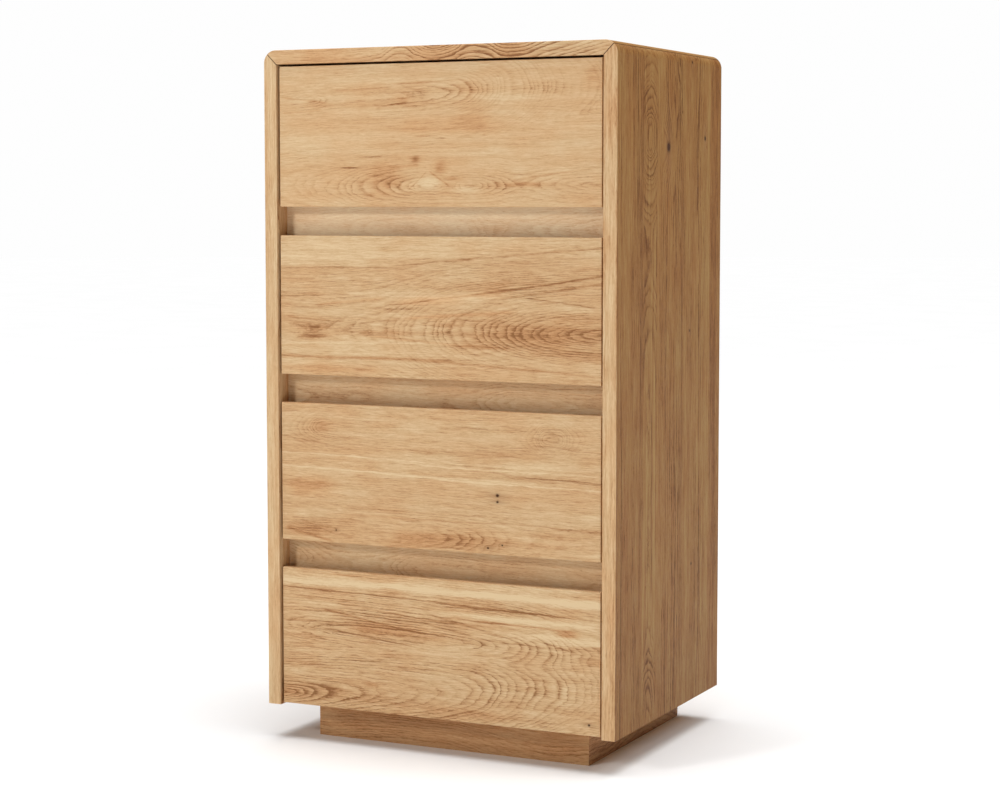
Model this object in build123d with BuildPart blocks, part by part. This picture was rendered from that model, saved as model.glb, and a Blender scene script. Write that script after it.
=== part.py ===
"""Tall chest of four drawers in solid oak, in millimetres with +Z up.

The origin is on the floor, midway between the sides and midway from front to back. The drawers open
towards -Y and are numbered from the top. Each piece is written to parts/ as one STEP file."""

from build123d import *
import os

os.makedirs("parts", exist_ok=True)

# Case: two sides and a top, mitred together, on a recessed plinth
case_width = 600.0
case_depth = 440.0
board = 22.0  # thickness of the sides, the top, the drawer fronts and the plinth
corner_radius = 20.0  # outside of the two top corners
edge_ease = 1.0  # rounding of the edges that a hand can touch
seam_groove = 0.7  # side of the square that cuts a fine V along each mitre
bottom_thickness = 18.0
back_thickness = 8.0
back_inset = 2.0  # from the back panel's face to the rear edge of the sides
rebate_width = 11.0  # rebate in the sides and the top, which holds the back panel
back_slack = 0.5  # between the back panel's edges and the rebate
plinth_height = 55.0
plinth_side_inset = 64.0
plinth_front_inset = 52.0
plinth_rear_inset = 15.0

# Drawer fronts, inset in the case, with a finger gap between each and the next
drawer_count = 4
front_height = 218.25
finger_gap = 45.0
reveal = 3.5  # gap between a front and the case around it
front_recess = 4.0  # from the case's front edge to the face of the fronts
grip_depth = 12.0  # bevel behind the edge that the fingers pull
grip_height = 15.0

# Rails that close the finger gaps, a little behind the fronts
rail_recess = 31.0  # from the case's front edge to the face of the rails
rail_thickness = 20.0
rail_overlap = 10.0  # how far a rail reaches behind the fronts above and below it

# Drawer boxes, dovetailed at their corners, with a loose floor in grooves
box_board = 12.0
box_lift = 16.0  # from the front's lower edge to the box's lower edge
box_height = 186.0
box_depth = 380.0
tail_count = 4
tail_tip = 28.0  # height of a dovetail at its wide end
tail_root = 24.0
floor_thickness = 6.0
floor_lift = 10.0  # from the box's lower edge to the floor's underside
floor_tongue = 5.5  # how far the floor reaches into its grooves
groove_depth = 6.0

# Three-member ball-bearing slides, one pair to a drawer; reaches are measured from the side panel
slide_width = 12.7
slide_length = 350.0
slide_setback = 4.0  # from the back of a front to the slide's front end
sheet = 1.2
bend_radius = 1.5
case_member_height = 45.0
case_member_mouth = 11.0
case_member_lip = 1.3
middle_member_height = 36.2
middle_member_web = 2.0
middle_member_mouth = 10.5
middle_member_setback = 3.0  # shorter than the other members by this at each end
drawer_member_height = 27.4
drawer_member_mouth = 4.5
ball_radius = 1.45
ball_pitch = 14.0
balls_in_row = 6
cage_size = (4.0, 86.0, 1.0)
outer_row_reach = 6.0
inner_row_reach = 7.0
outer_cage_start = 250.0  # from the slide's front end
inner_cage_start = 8.0

# Joinery, glue blocks and screws
dowel_radius = 4.0
dowel_length = 30.0
dowel_chamfer = 1.0
rail_dowel_spacing = 32.0
bottom_dowel_spacing = 100.0
bottom_dowel_count = 4
spline_width = 14.0
spline_thickness = 4.0
spline_reach = 10.0  # from the inner corner to the spline, along the mitre
spline_stop = 15.0  # the splines stop short of the front edge by this
spline_rear_gap = 12.0
glue_block_leg = 45.0
glue_block_gap = 5.0  # from the floor
glue_block_screw_inset = 14.0
back_screw_rows = 6
back_screw_columns = 3
back_screw_spacing = 180.0
plinth_screw_bore = 22.0  # depth of the counterbore that takes the head
plinth_screw_clearance = 1.0  # between the head and the side of its counterbore
slide_screw_count = 3
slide_screw_spacing = 140.0
front_screw_grid = (300.0, 100.0)
back_screw = dict(length=25.0, radius=1.75, head_radius=3.5)
case_screw = dict(length=15.0, radius=1.75, head_radius=3.2)
plinth_screw = dict(length=40.0, radius=2.25, head_radius=4.5, head_height=2.8)
slide_screw = dict(length=11.0, radius=1.75, head_radius=3.2, head_height=1.8)
front_screw = dict(length=28.0, radius=2.0, head_radius=4.2, head_height=2.4)
recess_arm = (1.3, 0.3)  # length and width of a cross recess's arms, as shares of the head's radius

# Positions worked out from the sizes above
inner_half = case_width / 2 - board
case_front = -case_depth / 2
case_rear = case_depth / 2
front_pitch = front_height + finger_gap
top_underside = plinth_height + reveal + drawer_count * front_pitch - finger_gap + reveal
case_height = top_underside + board
front_face = case_front + front_recess
front_back = front_face + board
front_width = 2 * (inner_half - reveal)
rail_face = case_front + rail_recess
back_rear = case_rear - back_inset
back_front = back_rear - back_thickness
plinth_half = case_width / 2 - plinth_side_inset
plinth_front = case_front + plinth_front_inset
plinth_rear = case_rear - plinth_rear_inset
box_half = inner_half - slide_width
box_inner_half = box_half - box_board
box_rear = front_back + box_depth
box_inner_front = front_back + box_board
box_inner_rear = box_rear - box_board
box_top = box_lift + box_height
floor_level = box_lift + floor_lift
slide_front = front_back + slide_setback
slide_middle = slide_front + slide_length / 2
slide_level = box_lift + box_height / 2
hands = (("left", -1), ("right", 1))
ends = (("front", -1), ("back", 1))
on_plane = (Align.CENTER, Align.CENTER, Align.MIN)


def front_bottom(number):
    """Level of the lower edge of a drawer's front, counting drawers from the top."""
    return plinth_height + reveal + (drawer_count - number) * front_pitch


drawer_levels = [front_bottom(number) for number in range(1, drawer_count + 1)]


def spread(middle, spacing, count):
    """Evenly spaced values about a middle value."""
    return [middle + (index - (count - 1) / 2) * spacing for index in range(count)]


def write(builder, name):
    """Labels a finished piece and writes its STEP file."""
    builder.part.label = name
    export_step(builder.part, f"parts/{name}.step")


def write_drawer_piece(builder, name, numbers=range(1, drawer_count + 1)):
    """Writes a drawer's piece once for each numbered drawer, raised to that drawer's level."""
    for number in numbers:
        raised = copies(builder.part, [Plane(origin=(0, 0, front_bottom(number)))])
        write(raised, f"drawer_{number}_{name}")


def block(low, high, mode=Mode.ADD):
    """Adds a box to the open part, or cuts one from it, given its lowest and highest corners."""
    with Locations(low):
        Box(*(b - a for a, b in zip(low, high)), align=(Align.MIN,) * 3, mode=mode)


def copies(piece, planes):
    """One group of separate solids: a piece, drawn about the origin, placed on each plane."""
    with BuildPart() as group:
        with Locations(*planes):
            add(piece)
    return group


def cut_recess(level, radius, depth):
    """Cuts a cross recess into the head of the screw in the open part."""
    length, width = (share * radius for share in recess_arm)
    with Locations((0, 0, level)):
        Box(length, width, depth, align=on_plane, mode=Mode.SUBTRACT)
        Box(width, length, depth, align=on_plane, mode=Mode.SUBTRACT)


def flat_screw(length, radius, head_radius, recess=True):
    """Countersunk screw that points along +Z, with the face of its head at Z = 0. Without its recess
    it is the shape of the hole that it sits in."""
    with BuildPart() as screw:
        Cylinder(radius, length, align=on_plane)
        chamfer(screw.edges().group_by(Axis.Z)[-1], radius / 2)
        Cone(head_radius, radius, head_radius - radius, align=on_plane)
        if recess:
            cut_recess(0, head_radius, (head_radius - radius) / 2)
    return screw.part


def pan_screw(length, radius, head_radius, head_height):
    """Pan-head screw that points along +Z, with the seat under its head at Z = 0."""
    with BuildPart() as screw:
        Cylinder(head_radius, head_height, align=(Align.CENTER, Align.CENTER, Align.MAX))
        fillet(screw.edges().group_by(Axis.Z)[0], head_height / 2)
        Cylinder(radius, length, align=on_plane)
        chamfer(screw.edges().group_by(Axis.Z)[-1], radius / 2)
        cut_recess(-head_height, head_radius, head_height / 2)
    return screw.part


def mitre_plane(hand):
    """Plane of a case mitre, facing the side panel on that hand."""
    return Plane(origin=(hand * inner_half, 0, top_underside), z_dir=(hand, 0, -1))


def plinth_mitre(side, end, direction):
    """Vertical plane through an outer corner of the plinth, facing along a direction."""
    corner_y = plinth_front if end < 0 else plinth_rear
    return Plane(origin=(side * plinth_half, corner_y, 0), z_dir=direction)


def draw_tails(root, tip):
    """Adds the dovetails that run from root to tip, along Y, to the open sketch of a box side."""
    for middle in spread(slide_level, box_height / tail_count, tail_count):
        Polygon(
            (root, middle - tail_root / 2),
            (tip, middle - tail_tip / 2),
            (tip, middle + tail_tip / 2),
            (root, middle + tail_root / 2),
        )


def channel_pair(web, mouth, height, length, lip=0.0):
    """Left and right sheet-metal channels of a slide. The web and the open mouth are reaches from the
    side panel, and a lip turns in at the mouth."""
    section = Plane(
        origin=(inner_half, slide_middle - length / 2, slide_level), x_dir=(-1, 0, 0), z_dir=(0, 1, 0)
    )
    outward = 1 if mouth > web else -1
    inside_height = height - 2 * sheet
    with BuildPart() as channels:
        with BuildSketch(section):
            with Locations(((web + mouth) / 2, 0)):
                outline = Rectangle(abs(mouth - web), height)
            fillet(outline.vertices().sort_by(Axis.X, reverse=outward < 0)[:2], bend_radius)
            with Locations(((web + outward * sheet + mouth) / 2, 0)):
                Rectangle(abs(mouth - web) - sheet, inside_height, mode=Mode.SUBTRACT)
            if lip:
                for rise in (-1, 1):
                    with Locations((mouth - outward * sheet / 2, rise * (inside_height - lip) / 2)):
                        Rectangle(sheet, lip)
        extrude(amount=length)
        mirror(about=Plane.YZ)
    return channels


# Dowels, splines and screws come first, because the boards are bored to fit them

with BuildPart() as dowel:
    Cylinder(dowel_radius, dowel_length)
    chamfer(dowel.edges().filter_by(GeomType.CIRCLE), dowel_chamfer)

dowel_points = []
rail_levels = [level - finger_gap / 2 for level in drawer_levels[:-1]]
for hand in (-1, 1):
    for level in rail_levels:
        for dowel_level in spread(level, rail_dowel_spacing, 2):
            dowel_points.append((hand * inner_half, rail_face + rail_thickness / 2, dowel_level))
    for dowel_y in spread((rail_face + back_front) / 2, bottom_dowel_spacing, bottom_dowel_count):
        dowel_points.append((hand * inner_half, dowel_y, plinth_height + bottom_thickness / 2))
case_dowels = copies(dowel.part, [Plane(origin=point, z_dir=(1, 0, 0)) for point in dowel_points])
write(case_dowels, "case_dowels")

with BuildPart() as mitre_splines:
    with BuildSketch(Plane.XZ.offset(-(case_rear - spline_rear_gap))):
        for hand in (-1, 1):
            along = spline_reach / 2**0.5
            with Locations((hand * (inner_half + along), top_underside + along)):
                Rectangle(spline_width, spline_thickness, rotation=-45 * hand)
    extrude(amount=case_depth - spline_stop - spline_rear_gap)
write(mitre_splines, "mitre_splines")

side_screw_x = inner_half + rebate_width / 2
screw_top = top_underside + rebate_width / 2
screw_bottom = plinth_height + bottom_thickness / 2
back_screw_points = []
for x in (-side_screw_x, side_screw_x):
    for z in spread((screw_top + screw_bottom) / 2, back_screw_spacing, back_screw_rows):
        back_screw_points.append((x, back_rear, z))
for z in (screw_top, screw_bottom):
    for x in spread(0, back_screw_spacing, back_screw_columns):
        back_screw_points.append((x, back_rear, z))
back_screw_planes = [Plane(origin=point, z_dir=(0, -1, 0)) for point in back_screw_points]
back_panel_screws = copies(flat_screw(**back_screw), back_screw_planes)
back_screw_holes = copies(flat_screw(**back_screw, recess=False), back_screw_planes)
write(back_panel_screws, "back_panel_screws")

slide_screw_ys = spread(slide_middle, slide_screw_spacing, slide_screw_count)
case_screw_planes = [
    Plane(origin=(hand * (inner_half - sheet), y, level + slide_level), z_dir=(hand, 0, 0))
    for hand in (-1, 1)
    for level in drawer_levels
    for y in slide_screw_ys
]
slide_case_screws = copies(flat_screw(**case_screw), case_screw_planes)
case_screw_holes = copies(flat_screw(**case_screw, recess=False), case_screw_planes)
write(slide_case_screws, "slide_case_screws")

plinth_screw_points = [
    (side * (plinth_half - board - glue_block_screw_inset), y)
    for side in (-1, 1)
    for y in (
        plinth_front + board + glue_block_screw_inset,
        plinth_rear - board - glue_block_screw_inset,
    )
]
plinth_screws = copies(
    pan_screw(**plinth_screw),
    [Plane(origin=(x, y, glue_block_gap + plinth_screw_bore)) for x, y in plinth_screw_points],
)
write(plinth_screws, "plinth_screws")

# The sides and the top are cut from one wrap of board, so that their edges meet at the mitres

with BuildPart() as case_wrap:
    with BuildSketch(Plane.XZ.offset(-case_rear)):
        with Locations((0, plinth_height)):
            outline = Rectangle(
                case_width, case_height - plinth_height, align=(Align.CENTER, Align.MIN)
            )
        fillet(outline.vertices().group_by(Axis.Y)[-1], corner_radius)
        with Locations((0, plinth_height)):
            Rectangle(
                2 * inner_half,
                top_underside - plinth_height,
                align=(Align.CENTER, Align.MIN),
                mode=Mode.SUBTRACT,
            )
    extrude(amount=case_depth)
    block(
        (-inner_half - rebate_width, back_front, 0),
        (inner_half + rebate_width, case_rear, top_underside + rebate_width),
        mode=Mode.SUBTRACT,
    )
    fillet(case_wrap.faces().sort_by(Axis.Y)[0].edges(), edge_ease)
    fillet(case_wrap.faces().sort_by(Axis.Y)[-1].edges(), edge_ease)
    for hand in (-1, 1):
        seam = Plane(
            origin=(hand * inner_half, case_front, top_underside), x_dir=(0, 1, 0), z_dir=(hand, 0, 1)
        )
        with BuildSketch(seam):
            Rectangle(seam_groove, seam_groove, rotation=45)
        extrude(amount=2 * board, mode=Mode.SUBTRACT)
        arc_middle = inner_half + board - corner_radius + corner_radius / 2**0.5
        with BuildSketch(Plane.XZ.offset(-case_rear)):
            with Locations((hand * arc_middle, top_underside + arc_middle - inner_half)):
                Rectangle(seam_groove, seam_groove)
        extrude(amount=case_depth, mode=Mode.SUBTRACT)

for name, hand in hands:
    with BuildPart() as side_panel:
        add(case_wrap.part)
        split(bisect_by=Plane(origin=(0, 0, 0), z_dir=(hand, 0, 0)))
        split(bisect_by=mitre_plane(hand))
        for fitting in (case_dowels, mitre_splines, back_screw_holes, case_screw_holes):
            add(fitting.part, mode=Mode.SUBTRACT)
    write(side_panel, f"side_panel_{name}")

with BuildPart() as top_panel:
    add(case_wrap.part)
    for hand in (-1, 1):
        split(bisect_by=mitre_plane(hand), keep=Keep.BOTTOM)
    for fitting in (mitre_splines, back_screw_holes):
        add(fitting.part, mode=Mode.SUBTRACT)
write(top_panel, "top_panel")

with BuildPart() as bottom_panel:
    block(
        (-inner_half, rail_face, plinth_height),
        (inner_half, back_front, plinth_height + bottom_thickness),
    )
    for fitting in (case_dowels, back_screw_holes, plinth_screws):
        add(fitting.part, mode=Mode.SUBTRACT)
write(bottom_panel, "bottom_panel")

with BuildPart() as back_panel:
    back_half = inner_half + rebate_width - back_slack
    block(
        (-back_half, back_front, plinth_height + back_slack),
        (back_half, back_rear, top_underside + rebate_width - back_slack),
    )
    add(back_screw_holes.part, mode=Mode.SUBTRACT)
write(back_panel, "back_panel")

for name, level in zip(("upper", "middle", "lower"), rail_levels):
    rail_half_height = finger_gap / 2 + rail_overlap
    with BuildPart() as rail:
        block(
            (-inner_half, rail_face, level - rail_half_height),
            (inner_half, rail_face + rail_thickness, level + rail_half_height),
        )
        add(case_dowels.part, mode=Mode.SUBTRACT)
    write(rail, f"rail_{name}")

# The plinth is four boards mitred at the corners, with a glue block inside each corner

with BuildPart() as plinth_wrap:
    with BuildSketch():
        with Locations((0, (plinth_front + plinth_rear) / 2)):
            RectangleRounded(2 * plinth_half, plinth_rear - plinth_front, edge_ease)
            Rectangle(
                2 * (plinth_half - board), plinth_rear - plinth_front - 2 * board, mode=Mode.SUBTRACT
            )
    extrude(amount=plinth_height)

for name, end in ends:
    with BuildPart() as plinth_cross_board:
        add(plinth_wrap.part)
        for side in (-1, 1):
            split(bisect_by=plinth_mitre(side, end, (-side, end, 0)))
    write(plinth_cross_board, f"plinth_{name}")

for name, side in hands:
    with BuildPart() as plinth_side_board:
        add(plinth_wrap.part)
        for end in (-1, 1):
            split(bisect_by=plinth_mitre(side, end, (side, -end, 0)))
    write(plinth_side_board, f"plinth_{name}")

with BuildPart() as plinth_corner_blocks:
    for side in (-1, 1):
        for corner_y, inward in ((plinth_front + board, 1), (plinth_rear - board, -1)):
            corner_x = side * (plinth_half - board)
            with BuildSketch(Plane.XY.offset(glue_block_gap)):
                with BuildLine():
                    Polyline(
                        (corner_x, corner_y),
                        (corner_x - side * glue_block_leg, corner_y),
                        (corner_x, corner_y + inward * glue_block_leg),
                        close=True,
                    )
                make_face()
            extrude(amount=plinth_height - glue_block_gap)
    bores = [Plane(origin=(x, y, glue_block_gap), z_dir=(0, 0, -1)) for x, y in plinth_screw_points]
    with Locations(*bores):
        CounterBoreHole(
            radius=plinth_screw["radius"],
            counter_bore_radius=plinth_screw["head_radius"] + plinth_screw_clearance,
            counter_bore_depth=plinth_screw_bore,
            depth=plinth_height,
        )
write(plinth_corner_blocks, "plinth_corner_blocks")

# The case members of all the slides are alike, so they are one group

case_member = channel_pair(0, case_member_mouth, case_member_height, slide_length, case_member_lip)
slide_case_members = copies(case_member.part, [Plane(origin=(0, 0, level)) for level in drawer_levels])
with slide_case_members:
    add(case_screw_holes.part, mode=Mode.SUBTRACT)
write(slide_case_members, "slide_case_members")

# A drawer's pieces are drawn with the lower edge of its front at Z = 0, and raised to their level

slide_screws = copies(
    pan_screw(**slide_screw),
    [
        Plane(origin=(hand * (box_half + sheet), y, slide_level), z_dir=(-hand, 0, 0))
        for hand in (-1, 1)
        for y in slide_screw_ys
    ],
)
front_screws = copies(
    pan_screw(**front_screw),
    [
        Plane(origin=(x, box_inner_front, z), z_dir=(0, -1, 0))
        for x in spread(0, front_screw_grid[0], 2)
        for z in spread(slide_level, front_screw_grid[1], 2)
    ],
)
with BuildPart() as drawer_screws:
    add(slide_screws.part)
    add(front_screws.part)
write_drawer_piece(drawer_screws, "screws")

# The top drawer is pulled by its lower edge, and the others by their upper edge
for numbers, grip_edge, plain_edge in (
    (range(1, 2), 0, front_height),
    (range(2, drawer_count + 1), front_height, 0),
):
    inward = 1 if plain_edge > grip_edge else -1
    with BuildPart() as drawer_front:
        with BuildSketch(Plane.YZ.offset(-front_width / 2)):
            with BuildLine():
                Polyline(
                    (front_face, grip_edge),
                    (front_back - grip_depth, grip_edge),
                    (front_back, grip_edge + inward * grip_height),
                    (front_back, plain_edge),
                    (front_face, plain_edge),
                    close=True,
                )
            make_face()
        extrude(amount=front_width)
        fillet(drawer_front.faces().sort_by(Axis.Y)[0].edges(), edge_ease)
        add(front_screws.part, mode=Mode.SUBTRACT)
    write_drawer_piece(drawer_front, "front", numbers)

groove_low = (-box_inner_half - groove_depth, box_inner_front - groove_depth, floor_level)
groove_high = (
    box_inner_half + groove_depth,
    box_inner_rear + groove_depth,
    floor_level + floor_thickness,
)

for name, outside, inside in (
    ("inner_front", front_back, box_inner_front),
    ("back", box_rear, box_inner_rear),
):
    with BuildPart() as cross_board:
        block(
            (-box_half, min(outside, inside), box_lift), (box_half, max(outside, inside), box_top)
        )
        for hand in (-1, 1):
            with BuildSketch(Plane.YZ.offset(hand * (box_half - box_board / 2))):
                draw_tails(inside, outside)
            extrude(amount=box_board / 2, both=True, mode=Mode.SUBTRACT)
        fillet(cross_board.edges().filter_by(Axis.X).group_by(Axis.Z)[-1], edge_ease)
        block(groove_low, groove_high, mode=Mode.SUBTRACT)
        add(front_screws.part, mode=Mode.SUBTRACT)
    write_drawer_piece(cross_board, name)

for name, hand in hands:
    with BuildPart() as box_side:
        with BuildSketch(Plane.YZ.offset(hand * (box_half - box_board / 2))):
            with Locations(((box_inner_front + box_inner_rear) / 2, slide_level)):
                Rectangle(box_inner_rear - box_inner_front, box_height)
            draw_tails(box_inner_front, front_back)
            draw_tails(box_inner_rear, box_rear)
        extrude(amount=box_board / 2, both=True)
        fillet(box_side.edges().filter_by(Axis.Y).group_by(Axis.Z)[-1], edge_ease)
        block(groove_low, groove_high, mode=Mode.SUBTRACT)
        add(slide_screws.part, mode=Mode.SUBTRACT)
    write_drawer_piece(box_side, f"side_{name}")

with BuildPart() as drawer_floor:
    block(
        (-box_inner_half - floor_tongue, box_inner_front - floor_tongue, floor_level),
        (
            box_inner_half + floor_tongue,
            box_inner_rear + floor_tongue,
            floor_level + floor_thickness,
        ),
    )
write_drawer_piece(drawer_floor, "floor")

drawer_members = channel_pair(
    slide_width, drawer_member_mouth, drawer_member_height, slide_length
)
with drawer_members:
    add(slide_screws.part, mode=Mode.SUBTRACT)
write_drawer_piece(drawer_members, "slide_members")

middle_members = channel_pair(
    middle_member_web,
    middle_member_mouth,
    middle_member_height,
    slide_length - 2 * middle_member_setback,
)
write_drawer_piece(middle_members, "middle_members")

# Ball cages run between the case and middle members, and between the middle and drawer members
outer_row_rise = (case_member_height / 2 - sheet + middle_member_height / 2) / 2
inner_row_rise = (middle_member_height / 2 - sheet + drawer_member_height / 2) / 2
with BuildPart() as ball_cages:
    for reach, rise, start in (
        (outer_row_reach, outer_row_rise, outer_cage_start),
        (inner_row_reach, inner_row_rise, inner_cage_start),
    ):
        cage_y = slide_front + start + cage_size[1] / 2
        for level in (slide_level - rise, slide_level + rise):
            with Locations((inner_half - reach, cage_y, level)):
                Box(*cage_size)
                with GridLocations(1, ball_pitch, 1, balls_in_row):
                    Sphere(ball_radius)
    mirror(about=Plane.YZ)
write_drawer_piece(ball_cages, "ball_cages")
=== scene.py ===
"""Looks of the tall oak chest of drawers: its woods and metals, the studio round it and the camera.

Blender's own units are metres. The shaders work in millimetres, with a board's coordinates taken
from one of its corners: along the grain, across it, and through the board's thickness."""

import math
import random
import bpy
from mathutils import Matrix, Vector


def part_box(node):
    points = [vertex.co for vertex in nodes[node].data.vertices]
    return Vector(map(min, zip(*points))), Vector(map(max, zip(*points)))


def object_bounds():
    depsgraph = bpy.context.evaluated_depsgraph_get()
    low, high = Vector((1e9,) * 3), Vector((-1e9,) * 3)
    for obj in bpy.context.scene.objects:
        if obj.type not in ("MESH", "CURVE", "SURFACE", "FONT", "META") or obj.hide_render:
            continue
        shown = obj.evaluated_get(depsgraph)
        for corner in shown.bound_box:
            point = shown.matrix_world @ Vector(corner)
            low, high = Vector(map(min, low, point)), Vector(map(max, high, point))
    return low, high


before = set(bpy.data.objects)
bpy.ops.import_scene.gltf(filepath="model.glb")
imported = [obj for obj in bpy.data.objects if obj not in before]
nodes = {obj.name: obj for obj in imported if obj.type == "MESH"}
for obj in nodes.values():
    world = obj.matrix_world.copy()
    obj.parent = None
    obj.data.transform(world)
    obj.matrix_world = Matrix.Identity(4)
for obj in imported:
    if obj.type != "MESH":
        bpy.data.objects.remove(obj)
cad_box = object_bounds()

MM_PER_M = 1000.0
DRAWERS = (1, 2, 3, 4)


def corner(node, axes):
    """Lowest corner of a node in millimetres, in the order of a board's axes."""
    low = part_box(node)[0]
    return tuple(low["xyz".index(axis)] * MM_PER_M for axis in axes)


def size_along(node, axis):
    """Size of a node along an axis, in millimetres."""
    low, high = (point["xyz".index(axis)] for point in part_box(node))
    return (high - low) * MM_PER_M


FRONT_LENGTH = size_along("drawer_1_front", "x")
TOP_LENGTH = size_along("top_panel", "x")
BOARD_THICKNESS = size_along("side_panel_right", "x")
HALF_WIDTH = cad_box[1][0] * MM_PER_M
INNER_HALF_WIDTH = HALF_WIDTH - BOARD_THICKNESS
CORNER_RADIUS = 20.0
# From the underside of the side panels to the top of the chest
CASE_HEIGHT = cad_box[1][2] * MM_PER_M - corner("side_panel_right", "z")[0]


# Arithmetic on numbers that vary over a surface, each step of it one shader node


class Value:
    """A number that varies over a surface: a node's output times a plain factor."""

    def __init__(self, socket, factor=1.0):
        self.socket = socket
        self.factor = factor

    def __add__(self, other):
        if self.factor != 1.0:
            return calculate("MULTIPLY_ADD", Value(self.socket), self.factor, other)
        if isinstance(other, Value) and other.factor != 1.0:
            return calculate("MULTIPLY_ADD", Value(other.socket), other.factor, self)
        return calculate("ADD", self, other)

    def __sub__(self, other):
        return self + other * -1.0

    def __rsub__(self, other):
        return self * -1.0 + other

    def __mul__(self, other):
        if isinstance(other, Value):
            return calculate("MULTIPLY", self, other)
        return Value(self.socket, self.factor * other)

    def __truediv__(self, other):
        return self * (1.0 / other)

    __radd__ = __add__
    __rmul__ = __mul__


def plug(value, slot):
    """Gives a node's input a value that varies, or a plain number or colour."""
    if isinstance(value, Value):
        if value.factor != 1.0:
            value = calculate("MULTIPLY", Value(value.socket), value.factor)
        slot.id_data.links.new(value.socket, slot)
    else:
        slot.default_value = value


def new_node(tree, kind, **settings):
    node = tree.nodes.new(f"ShaderNode{kind}")
    for name, setting in settings.items():
        setattr(node, name, setting)
    return node


def calculate(operation, *values):
    """One step of arithmetic. At least one of the values varies over the surface."""
    tree = next(value.socket.id_data for value in values if isinstance(value, Value))
    node = new_node(tree, "Math", operation=operation)
    for value, slot in zip(values, node.inputs):
        plug(value, slot)
    return Value(node.outputs[0])


def least(a, b, blend=0.0):
    """The lesser of two values, with a rounded changeover if blend is given."""
    return calculate("SMOOTH_MIN", a, b, blend) if blend else calculate("MINIMUM", a, b)


def clamp(value, low=0.0, high=1.0):
    return calculate("MINIMUM", calculate("MAXIMUM", value, low), high)


def rise(value, start, end):
    """0 below start, 1 above end, and a smooth rise between."""
    tree = value.socket.id_data
    node = new_node(tree, "MapRange", interpolation_type="SMOOTHSTEP")
    plug(value, node.inputs["Value"])
    node.inputs["From Min"].default_value = start
    node.inputs["From Max"].default_value = end
    return Value(node.outputs["Result"])


def curve(value, span, top, points):
    """A smooth curve through (place, height) points, for places from 0 to span and heights to top."""
    node = new_node(value.socket.id_data, "FloatCurve")
    plug(value / span, node.inputs["Value"])
    line = node.mapping.curves[0]
    places = [(place / span, height / top) for place, height in points]
    line.points[0].location, line.points[1].location = places[0], places[-1]
    for place in places[1:-1]:
        line.points.new(*place)
    node.mapping.update()
    return Value(node.outputs[0]) * top


def steps(value, edges, levels):
    """The first level below the first edge, and the next one beyond each edge."""
    total = levels[0]
    for edge, before, after in zip(edges, levels, levels[1:]):
        total = calculate("GREATER_THAN", value, edge) * (after - before) + total
    return total


class Board:
    """Coordinates of a board, in millimetres: along the grain, across it and through it."""

    def __init__(self, tree, axes, origin):
        place = new_node(tree, "TexCoord").outputs["Object"]
        split = new_node(tree, "SeparateXYZ")
        tree.links.new(place, split.inputs[0])
        self.tree = tree
        self.along, self.across, self.through = (
            Value(split.outputs["xyz".index(axis)]) * MM_PER_M - start
            for axis, start in zip(axes, origin)
        )

    def noise(self, size_along, size_across, detail=2.0, seed=0.0, roughness=0.5):
        """Noise from 0 to 1 with features of about these sizes along and across the grain."""
        point = new_node(self.tree, "CombineXYZ")
        plug(self.along / size_along + seed, point.inputs[0])
        plug(self.across / size_across + 3.1 * seed, point.inputs[1])
        plug(self.through / size_across + 1.7 * seed, point.inputs[2])
        texture = new_node(self.tree, "TexNoise")
        self.tree.links.new(point.outputs[0], texture.inputs["Vector"])
        texture.inputs["Scale"].default_value = 1.0
        texture.inputs["Detail"].default_value = detail
        texture.inputs["Roughness"].default_value = roughness
        return Value(texture.outputs[0])

    def sway(self, reach, size_along, size_across, seed):
        """Moves the board's figure across and through by up to about this reach."""
        across = self.noise(size_along, size_across, 1.0, seed)
        through = self.noise(size_along, size_across, 1.0, seed + 40)
        self.across = self.across + (across - 0.5) * (2 * reach)
        self.through = self.through + (through - 0.5) * (2 * reach)

    def spot(self, along, across, half_length, half_width):
        """1 at a place on the board's face, fading to 0 at about these distances from it."""
        a = (self.along - along) / half_length
        b = (self.across - across) / half_width
        return calculate("EXPONENT", (a * a + b * b) * -2.0)

    def stripe(self, start, end, half_width):
        """1 on a line between two places on the board's face, fading to 0 beside it and at its ends."""
        part = (self.along - start[0]) / (end[0] - start[0])
        beside = (self.across - start[1] - part * (end[1] - start[1])) / half_width
        ends = rise(part, 0.0, 0.15) * rise(part, 1.0, 0.85)
        return calculate("EXPONENT", beside * beside * -2.0) * ends


def line_noise(value, size, seed=0.0):
    """Noise from 0 to 1 along a line."""
    texture = new_node(value.socket.id_data, "TexNoise", noise_dimensions="1D")
    plug(value / size + seed, texture.inputs["W"])
    texture.inputs["Scale"].default_value = 1.0
    texture.inputs["Detail"].default_value = 1.0
    return Value(texture.outputs[0])


def ramp(value, *stops):
    """Colour from a row of (position, colour) stops."""
    node = new_node(value.socket.id_data, "ValToRGB")
    plug(value, node.inputs[0])
    elements = node.color_ramp.elements
    elements[0].position, elements[1].position = stops[0][0], stops[-1][0]
    for position, _ in stops[1:-1]:
        elements.new(position)
    for element, (_, colour) in zip(elements, stops):
        element.color = (*colour, 1.0)
    return Value(node.outputs[0])


def mix_colour(factor, a, b, blend_type="MIX"):
    node = new_node(factor.socket.id_data, "Mix", data_type="RGBA", blend_type=blend_type)
    plug(factor, node.inputs["Factor"])
    for value, slot in ((a, node.inputs[6]), (b, node.inputs[7])):
        plug(value if isinstance(value, Value) else (*value, 1.0), slot)
    return Value(node.outputs[2])


def new_material(name):
    material = bpy.data.materials.new(name)
    material.use_nodes = True
    return material, material.node_tree


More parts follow.
